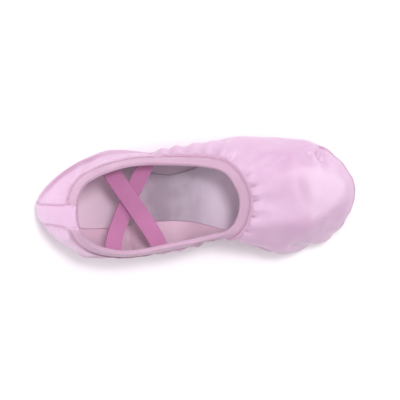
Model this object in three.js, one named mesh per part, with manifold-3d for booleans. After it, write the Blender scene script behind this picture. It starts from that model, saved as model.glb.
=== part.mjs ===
// Satin ballet slipper, left foot: a soft hollow upper on two suede pads, with a full-length insole, a folded
// binding round the collar, a centre-back strip that folds over the collar, and two elastic bands that cross
// over the opening. Millimetres, +Z up, toe towards +X, inner (arch) side of the foot towards -Y.
import * as THREE from "three";
import { mergeVertices } from "three/addons/utils/BufferGeometryUtils.js";
import Module from "manifold-3d";

// Driving dimensions.
const LENGTH = 200; // length that the shares along refer to; the finished shoe is 3 mm shorter outside
const BALL_WIDTH = 69; // across the widest part of the forefoot, outside
const HEEL_HEIGHT = 50; // top of the collar's edge at the back, above the floor
const WALL = 1.6; // satin and cotton lining together
const PAD = 1.8; // suede sole pads
const SOCK = 1.3; // insole
const GAP = 0.3; // between pieces that lie on each other
const BINDING = 7.5; // depth of the folded binding, each side of the collar's edge
const FOLD = 0.7; // thickness of the folded binding and of the centre-back strip
const STRIP_WIDTH = 12.5; // centre-back strip
const STRIP_MIDDLE = -1.8; // its middle from the centre back; below 0 is towards the inner side
const STRIP_REACH = 11; // how far it hangs down inside the heel
const STRIP_START = 0.86; // its lower end outside, as a share of the way down the wall
const ELASTIC_WIDTH = 10;
const ELASTIC_THICKNESS = 1;
const ELASTIC_DOWN = BINDING + 1.9; // ends of the elastics below the collar's edge
const ELASTIC_IN = -(WALL + 1.2 * ELASTIC_THICKNESS); // and their middle plane from the upper's outer face
const ELASTIC_LEANS = [4, 9]; // how far they lead in from the outer and the inner wall before they turn
const ELASTIC_STEPS = 20;
const ARCH_LIFT = 5; // underside of the arch above the pads
const TOE_SPRING = 5; // underside of the toe's tip above the pads
const ARCH_MIDDLE = 0.445; // these four are shares of LENGTH
const ARCH_HALF = 0.115;
const SPRING_START = 0.75;
const SPRING_END = 0.985;
const PAD_MARGIN = 2.5; // pads reach this far outside the foot line
const SOCK_MARGIN = -0.5; // the insole reaches this far outside it
const WINDOW_MARGIN = 5; // the upper's turned-in edge that lies on each pad

// The upper is drawn as meridians that run from the foot line, where the wall leaves the ground, out round
// the side and up to the collar's edge. One row each, from the back of the heel round the outer side (+Y) to
// the toe's tip, and back round the inner side. Along is a share of LENGTH, across is a share of BALL_WIDTH
// and up is a share of HEEL_HEIGHT. Flare is how far the wall first runs outwards along the ground, swell
// and drop place the handle below the collar that it closes in from.
const MERIDIANS = [
  //  foot: along, across, flare | collar: along, across, up | swell, drop
  { at: "heel back", foot: [0.073, 0, 0.234], collar: [0.0875, 0, 1], handle: [0.165, 0.4] },
  { at: "outer quarter", foot: [0.122, 0.156, 0.186], collar: [0.1175, 0.239, 0.96], handle: [0.104, 0.38] },
  { at: "outer heel side", foot: [0.244, 0.298, 0.241], collar: [0.24, 0.359, 0.85], handle: [0.05, 0.34] },
  { at: "outer waist", foot: [0.415, 0.19, 0.244], collar: [0.385, 0.354, 0.78], handle: [0.145, 0.32] },
  { at: "outer ball", foot: [0.65, 0.331, 0.285], collar: [0.515, 0.29, 0.8], handle: [0.284, 0.12] },
  { at: "outer toe side", foot: [0.881, 0.32, 0.273], collar: [0.5625, 0.145, 0.83], handle: [0.6, 0.05] },
  { at: "toe tip", foot: [0.984, 0, 0.318], collar: [0.575, -0.014, 0.84], handle: [0.874, 0.04] },
  { at: "inner toe side", foot: [0.894, -0.333, 0.278], collar: [0.555, -0.174, 0.83], handle: [0.469, 0.05] },
  { at: "inner ball", foot: [0.67, -0.312, 0.1], collar: [0.5025, -0.257, 0.8], handle: [0.04, 0.14] },
  { at: "inner waist", foot: [0.451, -0.157, 0.189], collar: [0.385, -0.308, 0.78], handle: [0.185, 0.28] },
  { at: "inner heel side", foot: [0.25, -0.2, 0.243], collar: [0.235, -0.345, 0.85], handle: [0.12, 0.34] },
  { at: "inner quarter", foot: [0.122, -0.166, 0.175], collar: [0.1225, -0.228, 0.96], handle: [0.19, 0.38] },
];
const ROUND = 6 * MERIDIANS.length; // sections round the shoe
const WALL_STEPS = 12; // steps down the wall below the binding
const STEP_EASE = 1.3; // above 1 draws these steps closer towards the ground
const FLOOR_STEPS = 6; // steps across the underside
const HEEL_PAD_END = 0.185; // where the pads end, as shares of the way round
const TOE_PAD_START = 0.315;
const PAD_ROUNDING = 9; // how far the pads' inner ends bulge towards the arch

// The elastics run from the outer side of the collar to the inner side: where they meet it, as shares of the
// way round, and how far they hang below that at the middle.
const ELASTICS = [
  { name: "elastic_over", outer: 0.146, inner: 0.77, sag: 2.8 },
  { name: "elastic_under", outer: 0.212, inner: 0.846, sag: 4.8 },
];

const COLOURS = {
  satin: 0xeecbe9,
  binding: 0xe8c4dc,
  elastic: 0xd07fb2,
  lining: 0xcdbdcf,
  suede: 0xd9b9a8,
};

// A row's sizes in millimetres, in one list, so that the rows can be blended.
function sizes({ foot, collar, handle }) {
  return [
    foot[0] * LENGTH,
    foot[1] * BALL_WIDTH,
    foot[2] * BALL_WIDTH,
    collar[0] * LENGTH,
    collar[1] * BALL_WIDTH,
    collar[2] * HEEL_HEIGHT,
    handle[0] * BALL_WIDTH,
    handle[1] * HEEL_HEIGHT,
  ];
}
const ROWS = MERIDIANS.map(sizes);

// Smooth closed blend of the rows at a share of the way round.
function blendRows(share) {
  const n = ROWS.length;
  const place = (((share % 1) + 1) % 1) * n;
  const i = Math.floor(place);
  const f = place - i;
  const [a, b, c, d] = [i + n - 1, i, i + 1, i + 2].map((k) => ROWS[k % n]);
  return b.map((_, k) => {
    const slope = c[k] - a[k];
    const bend = 2 * a[k] - 5 * b[k] + 4 * c[k] - d[k];
    const twist = 3 * (b[k] - c[k]) + d[k] - a[k];
    return b[k] + 0.5 * f * (slope + f * (bend + f * twist));
  });
}

// Height of the upper's underside: flat over both pads, lifted at the arch and at the toe.
function undersideHeight(x) {
  const off = THREE.MathUtils.clamp((x - ARCH_MIDDLE * LENGTH) / (ARCH_HALF * LENGTH), -1, 1);
  const arch = ARCH_LIFT * Math.cos((off * Math.PI) / 2) ** 2;
  const toe = TOE_SPRING * Math.max(0, (x / LENGTH - SPRING_START) / (SPRING_END - SPRING_START)) ** 2;
  return PAD + GAP + arch + toe;
}

// Point of the foot line, and its outward direction in plan.
function footLine(share) {
  const at = (s) => new THREE.Vector2(...blendRows(s));
  const along = at(share + 1e-3).sub(at(share - 1e-3));
  return { point: at(share), out: new THREE.Vector2(-along.y, along.x).normalize() };
}

// One meridian as a curve from the foot line to the collar's edge.
function meridian(share) {
  const row = blendRows(share);
  const [, , flare, , , up, swell, drop] = row;
  const foot = footLine(share);
  const collarAt = (s) => new THREE.Vector2(...blendRows(s).slice(3, 5));
  const along = collarAt(share + 1e-3).sub(collarAt(share - 1e-3));
  const out = new THREE.Vector2(-along.y, along.x).normalize();
  const collar = collarAt(share);
  const ground = undersideHeight(foot.point.x);
  const spread = foot.point.clone().addScaledVector(foot.out, flare);
  const below = collar.clone().addScaledVector(out, swell);
  return new THREE.CubicBezierCurve3(
    new THREE.Vector3(foot.point.x, foot.point.y, ground),
    new THREE.Vector3(spread.x, spread.y, ground),
    new THREE.Vector3(below.x, below.y, up - drop),
    new THREE.Vector3(collar.x, collar.y, up),
  );
}

const meridians = new Map();
function meridianAt(share) {
  const key = share.toFixed(6);
  if (!meridians.has(key)) meridians.set(key, meridian(share));
  return meridians.get(key);
}

// A place on the wall: `down` is measured along the meridian from the collar's edge (negative is above it)
// and `out` is how far outside the upper's outer face it lies.
function onWall(share, down, out) {
  const curve = meridianAt(share);
  const total = curve.getLength();
  const u = THREE.MathUtils.clamp(1 - down / total, 0, 1);
  const point = curve.getPointAt(u);
  const rise = curve.getTangentAt(u);
  const [before, after] = [-1e-3, 1e-3].map((d) => meridianAt(share + d).getPointAt(u));
  const normal = after.sub(before).cross(rise).negate().normalize();
  if (down < 0) point.addScaledVector(rise, -down);
  return point.addScaledVector(normal, out);
}

// The same wall's levels for every piece, so that pieces lying on each other keep their gap.
function levels(share, from, to) {
  const total = meridianAt(share).getLength();
  const all = [0, BINDING / 2, BINDING];
  for (let i = WALL_STEPS - 1; i >= 0; i--) {
    all.push(total - (total - BINDING) * (i / WALL_STEPS) ** STEP_EASE);
  }
  return all.filter((d) => d >= from - 1e-6 && d <= to * total + 1e-6);
}

// A solid swept through a list of sections, each a closed list of points. Its ends are either capped or
// already closed, where the first and last sections are folded flat.
function sweep(sections, capped) {
  const size = sections[0].length;
  const faces = [];
  for (let i = 0; i < sections.length - 1; i++) {
    for (let k = 0; k < size; k++) {
      const [a, b] = [k, (k + 1) % size].map((corner) => i * size + corner);
      faces.push([a, a + size, b + size], [a, b + size, b]);
    }
  }
  if (capped) {
    const last = (sections.length - 1) * size;
    const cap = (section) => THREE.ShapeUtils.triangulateShape(flatten(section), []);
    faces.push(...cap(sections[0]));
    faces.push(...cap(sections.at(-1)).map(([a, b, c]) => [last + a, last + c, last + b]));
  }
  return solidGeometry(sections.flat(), faces);
}

// A section's points in its own plane, to triangulate its cap.
function flatten(section) {
  const centre = section.reduce((sum, p) => sum.clone().add(p)).divideScalar(section.length);
  const far = section.reduce((a, b) => (a.distanceTo(centre) > b.distanceTo(centre) ? a : b));
  const x = far.clone().sub(centre).normalize();
  const normal = new THREE.Vector3();
  section.forEach((p, i) => {
    const next = section[(i + 1) % section.length];
    normal.add(p.clone().sub(centre).cross(next.clone().sub(centre)));
  });
  const y = normal.normalize().cross(x);
  return section.map((p) => {
    const q = p.clone().sub(centre);
    return new THREE.Vector2(q.dot(x), q.dot(y));
  });
}

// Points and faces as a geometry with shared vertices and without faces that have shrunk to a line.
function solidGeometry(points, faces) {
  const raw = new THREE.BufferGeometry();
  raw.setAttribute("position", new THREE.Float32BufferAttribute(points.flatMap((p) => p.toArray()), 3));
  raw.setIndex(faces.flat());
  const merged = mergeVertices(raw, 1e-3);
  const index = [];
  for (let i = 0; i < merged.index.count; i += 3) {
    const face = [0, 1, 2].map((k) => merged.index.getX(i + k));
    if (new Set(face).size === 3) index.push(...face);
  }
  merged.setIndex(index);
  merged.computeVertexNormals();
  return merged;
}

// Booleans.
const wasm = await Module();
wasm.setup();

function toManifold(geometry) {
  const plain = new THREE.BufferGeometry();
  plain.setAttribute("position", geometry.getAttribute("position"));
  plain.setIndex(geometry.index);
  const bare = mergeVertices(plain, 1e-3);
  return new wasm.Manifold(
    new wasm.Mesh({
      numProp: 3,
      vertProperties: bare.getAttribute("position").array,
      triVerts: new Uint32Array(bare.index.array),
    }),
  );
}

function fromManifold(solid) {
  const mesh = solid.getMesh();
  const geometry = new THREE.BufferGeometry();
  geometry.setAttribute("position", new THREE.BufferAttribute(mesh.vertProperties, 3));
  geometry.setIndex(new THREE.BufferAttribute(mesh.triVerts, 1));
  geometry.computeVertexNormals();
  return geometry;
}

// Points across the underside between a share and its mirror, from the inner side of the foot to the outer.
function floorAcross([right, left], lift) {
  const points = [];
  for (let k = 0; k <= FLOOR_STEPS; k++) points.push(right.clone().lerp(left, k / FLOOR_STEPS));
  return points.map((p) => new THREE.Vector3(p.x, p.y, undersideHeight(p.x) + lift));
}

// The upper as a closed bag, in sections across the shoe: outer face down the inner side of the foot, across
// the underside and up the outer side, then the same way back on the inside.
function upperBag() {
  const sections = [];
  for (let i = 0; i <= ROUND / 2; i++) {
    const share = i / ROUND;
    const feet = [-share, share].map((s) => footLine(s).point);
    const skin = (out) => [
      ...levels(-share, 0, 1).map((down) => onWall(-share, down, out)),
      ...floorAcross(feet, -out).slice(1, -1),
      ...levels(share, 0, 1).toReversed().map((down) => onWall(share, down, out)),
    ];
    sections.push([...skin(-WALL), ...skin(0).toReversed()]);
  }
  return sweep(sections, false);
}

// A flat piece that follows the underside: it runs between two shares of the way along, from the heel (0) to
// the toe (0.5), with its edges `margin` outside the foot line and rounded ends where it stops short.
function plate(from, to, margin, low, high) {
  const stations = [];
  const edge = (share) => {
    const line = footLine(share);
    return line.point.addScaledVector(line.out, margin);
  };
  const cap = (share, way, angle) => {
    const [right, left] = [edge(-share), edge(share)];
    const middle = left.clone().add(right).divideScalar(2);
    const reach = new THREE.Vector2(way * PAD_ROUNDING * Math.sin(angle), 0);
    return [right, left].map((p) => p.sub(middle).multiplyScalar(Math.cos(angle)).add(middle).add(reach));
  };
  const angles = [90, 67.5, 45, 22.5].map(THREE.MathUtils.degToRad);
  if (from > 0) for (const angle of angles) stations.push(cap(from, -1, angle));
  const steps = Math.round((to - from) * ROUND);
  for (let i = 0; i <= steps; i++) {
    const share = from + ((to - from) * i) / steps;
    stations.push([edge(-share), edge(share)]);
  }
  if (to < 0.5) for (const angle of angles.toReversed()) stations.push(cap(to, 1, angle));
  const section = (ends) => [...floorAcross(ends, high), ...floorAcross(ends, low).toReversed()];
  return sweep(stations.map(section), false);
}

// An upright block under a plate's own outline, to cut the upper's window above a pad.
function windowCutter(from, to) {
  return plate(from, to, PAD_MARGIN - WINDOW_MARGIN, -GAP, WALL + GAP);
}

// Share of the way round that lies `across` millimetres from the centre back, at a depth below the edge.
function besideCentreBack(across, down) {
  const [a, b] = [-1e-3, 1e-3].map((share) => onWall(share, Math.max(down, 0), 0));
  return (across * 2e-3) / a.distanceTo(b);
}

// Fabric folded over the collar's edge. Each station gives its share of the way round at a depth, and
// `outerDepths` and `innerDepths` list the depths its outer and inner legs are drawn at.
function foldedEdge(stations, outerDepths, innerDepths) {
  const outside = GAP + FOLD;
  const inside = -(WALL + GAP);
  const outline = [
    ...outerDepths.toReversed().map((down) => [down, GAP]),
    [-GAP, GAP],
    [-GAP, inside],
    ...innerDepths.map((down) => [down, inside]),
    ...innerDepths.toReversed().map((down) => [down, inside - FOLD]),
    [-outside, -0.85 * WALL],
    [-outside, -0.15 * WALL],
    ...outerDepths.map((down) => [down, outside]),
  ];
  const section = (station) => outline.map(([down, out]) => onWall(station(down), down, out));
  return sweep(stations.map(section), true);
}

function collarBinding() {
  const beside = STRIP_WIDTH / 2 + GAP;
  const [start, end] = [STRIP_MIDDLE + beside, STRIP_MIDDLE - beside];
  const [first, last] = [start, end].map((mm) => besideCentreBack(mm, 0));
  const stations = [(down) => besideCentreBack(start, down)];
  for (let i = 1; i < ROUND; i++) {
    const share = i / ROUND;
    if (share > first + 0.5 / ROUND && share < 1 + last - 0.5 / ROUND) stations.push(() => share);
  }
  stations.push((down) => besideCentreBack(end, down));
  const depths = [0, BINDING / 2, BINDING];
  return foldedEdge(stations, depths, depths);
}

function heelStrip() {
  const across = [-1, -0.5, 0, 0.5, 1].map((k) => STRIP_MIDDLE + (k * STRIP_WIDTH) / 2);
  const stations = across.map((mm) => (down) => besideCentreBack(mm, down));
  const depths = levels(0, 0, STRIP_START);
  return foldedEdge(stations, depths, [0, BINDING / 2, BINDING, STRIP_REACH]);
}

// An elastic band that hangs between the two sides of the collar, its ends flat against the wall.
function elastic({ outer, inner, sag }) {
  const ends = [outer, inner].map((share) => onWall(share, ELASTIC_DOWN, ELASTIC_IN));
  const lie = [outer, inner].map((share) => {
    const [back, front] = [-1e-2, 1e-2].map((d) => onWall(share + d, ELASTIC_DOWN, ELASTIC_IN));
    return front.sub(back).normalize();
  });
  const hang = new THREE.Vector3(0, 0, (-sag * 4) / 3);
  const leads = [outer, inner].map((share, i) => {
    return onWall(share, ELASTIC_DOWN, ELASTIC_IN - ELASTIC_LEANS[i]).add(hang);
  });
  const path = new THREE.CubicBezierCurve3(ends[0], leads[0], leads[1], ends[1]);
  const sections = [];
  for (let i = 0; i <= ELASTIC_STEPS; i++) {
    const at = path.getPointAt(i / ELASTIC_STEPS);
    const along = path.getTangentAt(i / ELASTIC_STEPS);
    const across = lie[0].clone().lerp(lie[1].clone().negate(), i / ELASTIC_STEPS);
    across.addScaledVector(along, -along.dot(across)).normalize();
    across.multiplyScalar(ELASTIC_WIDTH / 2);
    const thick = along.clone().cross(across).setLength(ELASTIC_THICKNESS / 2);
    const corners = [
      [-1, -1],
      [-1, 1],
      [1, 1],
      [1, -1],
    ];
    sections.push(corners.map(([a, b]) => at.clone().addScaledVector(across, a).addScaledVector(thick, b)));
  }
  return sweep(sections, true);
}

function material(colour, roughness) {
  return new THREE.MeshStandardMaterial({ color: COLOURS[colour], roughness, metalness: 0 });
}

function piece(name, geometry, look) {
  const mesh = new THREE.Mesh(geometry, look);
  mesh.name = name;
  return mesh;
}

const shoe = new THREE.Group();
const satin = material("satin", 0.35);
const suede = material("suede", 0.95);
const elasticLook = material("elastic", 0.8);

const upper = toManifold(upperBag())
  .subtract(toManifold(windowCutter(0, HEEL_PAD_END)))
  .subtract(toManifold(windowCutter(TOE_PAD_START, 0.5)));
shoe.add(piece("upper", fromManifold(upper), satin));
shoe.add(piece("sole_heel", plate(0, HEEL_PAD_END, PAD_MARGIN, -GAP - PAD, -GAP), suede));
shoe.add(piece("sole_forefoot", plate(TOE_PAD_START, 0.5, PAD_MARGIN, -GAP - PAD, -GAP), suede));
shoe.add(piece("insole", plate(0, 0.5, SOCK_MARGIN, WALL + GAP, WALL + GAP + SOCK), material("lining", 0.9)));

shoe.add(piece("collar_binding", collarBinding(), material("binding", 0.7)));
shoe.add(piece("heel_strip", heelStrip(), satin));
for (const band of ELASTICS) shoe.add(piece(band.name, elastic(band), elasticLook));

// The part's origin is under the middle of the whole shoe, on the floor.
const box = new THREE.Box3().setFromObject(shoe);
const centre = box.getCenter(new THREE.Vector3());
shoe.position.set(-centre.x, -centre.y, -box.min.z);

export default shoe;
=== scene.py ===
"""Satin ballet slipper, left foot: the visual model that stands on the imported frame."""
import math

import bpy
import numpy as np
from mathutils import Matrix, Vector


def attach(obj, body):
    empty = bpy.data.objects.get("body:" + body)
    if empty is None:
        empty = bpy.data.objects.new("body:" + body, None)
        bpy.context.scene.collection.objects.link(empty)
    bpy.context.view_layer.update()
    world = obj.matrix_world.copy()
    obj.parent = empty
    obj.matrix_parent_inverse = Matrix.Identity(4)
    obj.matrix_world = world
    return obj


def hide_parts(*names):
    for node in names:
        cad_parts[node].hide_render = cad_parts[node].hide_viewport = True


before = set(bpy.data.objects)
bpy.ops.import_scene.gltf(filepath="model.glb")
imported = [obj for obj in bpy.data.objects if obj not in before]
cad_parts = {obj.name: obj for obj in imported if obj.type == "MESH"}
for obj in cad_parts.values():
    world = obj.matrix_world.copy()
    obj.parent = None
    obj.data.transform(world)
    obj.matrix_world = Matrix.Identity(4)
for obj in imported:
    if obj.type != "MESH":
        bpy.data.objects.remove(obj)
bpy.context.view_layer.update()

# -------------------- sizes, in millimetres unless named otherwise
LENGTH = 200.0
BALL_WIDTH = 69.0
HEEL_HEIGHT = 50.0
WALL = 1.6
PAD = 1.8
SOCK = 1.3
GAP = 0.3
ARCH_AT, ARCH_HALF, ARCH_LIFT = 0.445 * LENGTH, 0.115 * LENGTH, 5.0
SPRING_FROM, SPRING_OVER, TOE_SPRING = 0.75, 0.235, 5.0  # shares of LENGTH, and the toe's lift
BINDING = 7.5
STRIP_WIDTH = 12.5
STRIP_MIDDLE = -1.8  # from the centre back, below 0 towards the inner side
STRIP_LEAN = 2.6  # how much further towards the inner side its lower end lies
STRIP_REACH = 11.0  # how far it folds down inside
ELASTIC_WIDTH = 10.0
ELASTIC_THICKNESS = 1.0
ORIGIN = np.array([103.188, 1.150, 0.0])  # the row frame's origin in these sizes

# Meridians of the upper from the foot line up to the collar's edge, as in the solid model. Shares of LENGTH
# along, BALL_WIDTH across and HEEL_HEIGHT up, from the back of the heel round the outer side (+Y).
#   foot: along, across, flare | collar: along, across, up | handle: swell, drop
MERIDIANS = [
    (0.073, 0, 0.234, 0.0875, 0, 1, 0.165, 0.4),  # heel back
    (0.122, 0.156, 0.186, 0.1175, 0.239, 0.96, 0.104, 0.38),  # outer heel quarter
    (0.244, 0.298, 0.241, 0.24, 0.359, 0.85, 0.05, 0.34),  # outer heel side
    (0.415, 0.19, 0.244, 0.385, 0.354, 0.78, 0.145, 0.32),  # outer waist
    (0.65, 0.331, 0.285, 0.515, 0.29, 0.8, 0.284, 0.12),  # outer ball
    (0.881, 0.32, 0.273, 0.5625, 0.145, 0.83, 0.6, 0.05),  # outer toe side
    (0.984, 0, 0.318, 0.575, -0.014, 0.84, 0.874, 0.04),  # toe tip
    (0.894, -0.333, 0.278, 0.555, -0.174, 0.83, 0.469, 0.05),  # inner toe side
    (0.67, -0.312, 0.1, 0.5025, -0.257, 0.8, 0.04, 0.14),  # inner ball
    (0.451, -0.157, 0.189, 0.385, -0.308, 0.78, 0.185, 0.28),  # inner waist
    (0.25, -0.2, 0.243, 0.235, -0.345, 0.85, 0.12, 0.34),  # inner heel side
    (0.122, -0.166, 0.175, 0.1225, -0.228, 0.96, 0.19, 0.38),  # inner heel quarter
]
UNITS = [LENGTH, BALL_WIDTH, BALL_WIDTH, LENGTH, BALL_WIDTH, HEEL_HEIGHT, BALL_WIDTH, HEEL_HEIGHT]
ROWS = np.array(MERIDIANS) * np.array(UNITS)
EPS = 1e-3


# -------------------- the last's surface
def unit(v):
    return v / np.maximum(np.linalg.norm(v, axis=-1, keepdims=True), 1e-9)


def smooth(x, low, high):
    t = np.clip((x - low) / (high - low), 0, 1)
    return t * t * (3 - 2 * t)


def bell(x, middle, width):
    return np.exp(-(((x - middle) / width) ** 2))


def bezier(p, t):
    return (1 - t) ** 3 * p[0] + 3 * (1 - t) ** 2 * t * p[1] + 3 * (1 - t) * t**2 * p[2] + t**3 * p[3]


def blend_rows(share):
    """The upper's sizes at any share of the way round, on a smooth curve through the rows."""
    n = len(ROWS)
    place = (np.asarray(share, float) % 1.0) * n
    i = np.floor(place).astype(int)
    f = (place - i)[..., None]
    a, b, c, d = (ROWS[(i + k) % n] for k in (-1, 0, 1, 2))
    return b + 0.5 * f * ((c - a) + f * ((2 * a - 5 * b + 4 * c - d) + f * (3 * (b - c) + d - a)))


def underside(x):
    """Height of the upper's underside: lifted at the arch, and sprung towards the toe."""
    off = np.clip((x - ARCH_AT) / ARCH_HALF, -1, 1)
    spring = np.maximum(0, (x / LENGTH - SPRING_FROM) / SPRING_OVER)
    return PAD + GAP + ARCH_LIFT * np.cos(off * np.pi / 2) ** 2 + TOE_SPRING * spring**2


def outward(share, column):
    """Outward direction in plan of the foot line (column 0) or of the collar (column 3)."""
    step = (blend_rows(share + EPS) - blend_rows(share - EPS))[..., column : column + 2]
    return unit(np.stack([-step[..., 1], step[..., 0]], -1))


def curves(share, count=400):
    """Each share's meridian from the collar down to the foot line, and the distance along it."""
    row = blend_rows(share)
    ground = underside(row[:, 0])[:, None]
    foot = np.hstack([row[:, :2], ground])
    spread = np.hstack([row[:, :2] + outward(share, 0) * row[:, 2:3], ground])
    below = np.hstack([row[:, 3:5] + outward(share, 3) * row[:, 6:7], row[:, 5:6] - row[:, 7:8]])
    t = np.linspace(1, 0, count)[None, :, None]
    p = [q[:, None, :] for q in (foot, spread, below, row[:, 3:6])]
    c = bezier(p, t)
    run = np.cumsum(np.linalg.norm(np.diff(c, axis=1), axis=2), axis=1)
    return c, np.hstack([np.zeros((len(row), 1)), run])


# The surface as a table: ROUND shares by DEEP + 1 equal steps from the collar's edge down to the foot line.
ROUND, DEEP = 1440, 256
SHARES = np.arange(ROUND) / ROUND
_c, _run = curves(SHARES)
TOTAL = _run[:, -1]
STEPS = np.linspace(0, 1, DEEP + 1)
SURFACE = np.stack(
    [np.stack([np.interp(STEPS * r[-1], r, c[:, k]) for k in range(3)], -1) for c, r in zip(_c, _run)]
)
ALONG = unit(np.gradient(SURFACE, axis=1))
NORMAL = unit(np.cross(np.roll(SURFACE, -1, 0) - np.roll(SURFACE, 1, 0), ALONG))
DOWN = STEPS[None, :] * TOTAL[:, None]


def look_up(tables, share, down):
    """Values at any share and depth from tables over the surface."""
    place = (share % 1.0) * ROUND
    i = np.floor(place).astype(int) % ROUND
    k = (i + 1) % ROUND
    fi = (place - np.floor(place))[..., None]
    depth = np.clip(down / (TOTAL[i] * (1 - fi[..., 0]) + TOTAL[k] * fi[..., 0]), 0, 1) * DEEP
    j = np.minimum(np.floor(depth).astype(int), DEEP - 1)
    fj = (depth - j)[..., None]
    found = []
    for t in tables:
        low = t[i, j] * (1 - fj) + t[i, j + 1] * fj
        high = t[k, j] * (1 - fj) + t[k, j + 1] * fj
        found.append(low * (1 - fi) + high * fi)
    return found


def on_wall(share, down, out=0.0, folds=1.0):
    """Points at a share of the way round, a depth below the collar's edge and a distance outside the outer
    face, with that much of the satin's relief. Returns the points and the surface's outward directions."""
    share, down, out, folds = np.broadcast_arrays(*[np.asarray(v, float) for v in (share, down, out, folds)])
    here, along, normal, relief = look_up([SURFACE, ALONG, NORMAL, RELIEF], share, down)
    normal = unit(normal)
    lift = (out + folds * relief[..., 0])[..., None]
    return here + along * np.minimum(down, 0)[..., None] + normal * lift, normal


def beside_centre_back(across, down):
    """Share that lies `across` millimetres from the centre back at a depth."""
    a, b = (look_up([SURFACE], np.full(np.shape(down), s), np.maximum(down, 0))[0] for s in (-EPS, EPS))
    return across * 2 * EPS / np.linalg.norm(a - b, axis=-1)


def strip_middle(down):
    """The strip's middle from the centre back: it leans towards the inner side on its way down."""
    return STRIP_MIDDLE - STRIP_LEAN * smooth(down, 6.0, 46.0)


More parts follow.
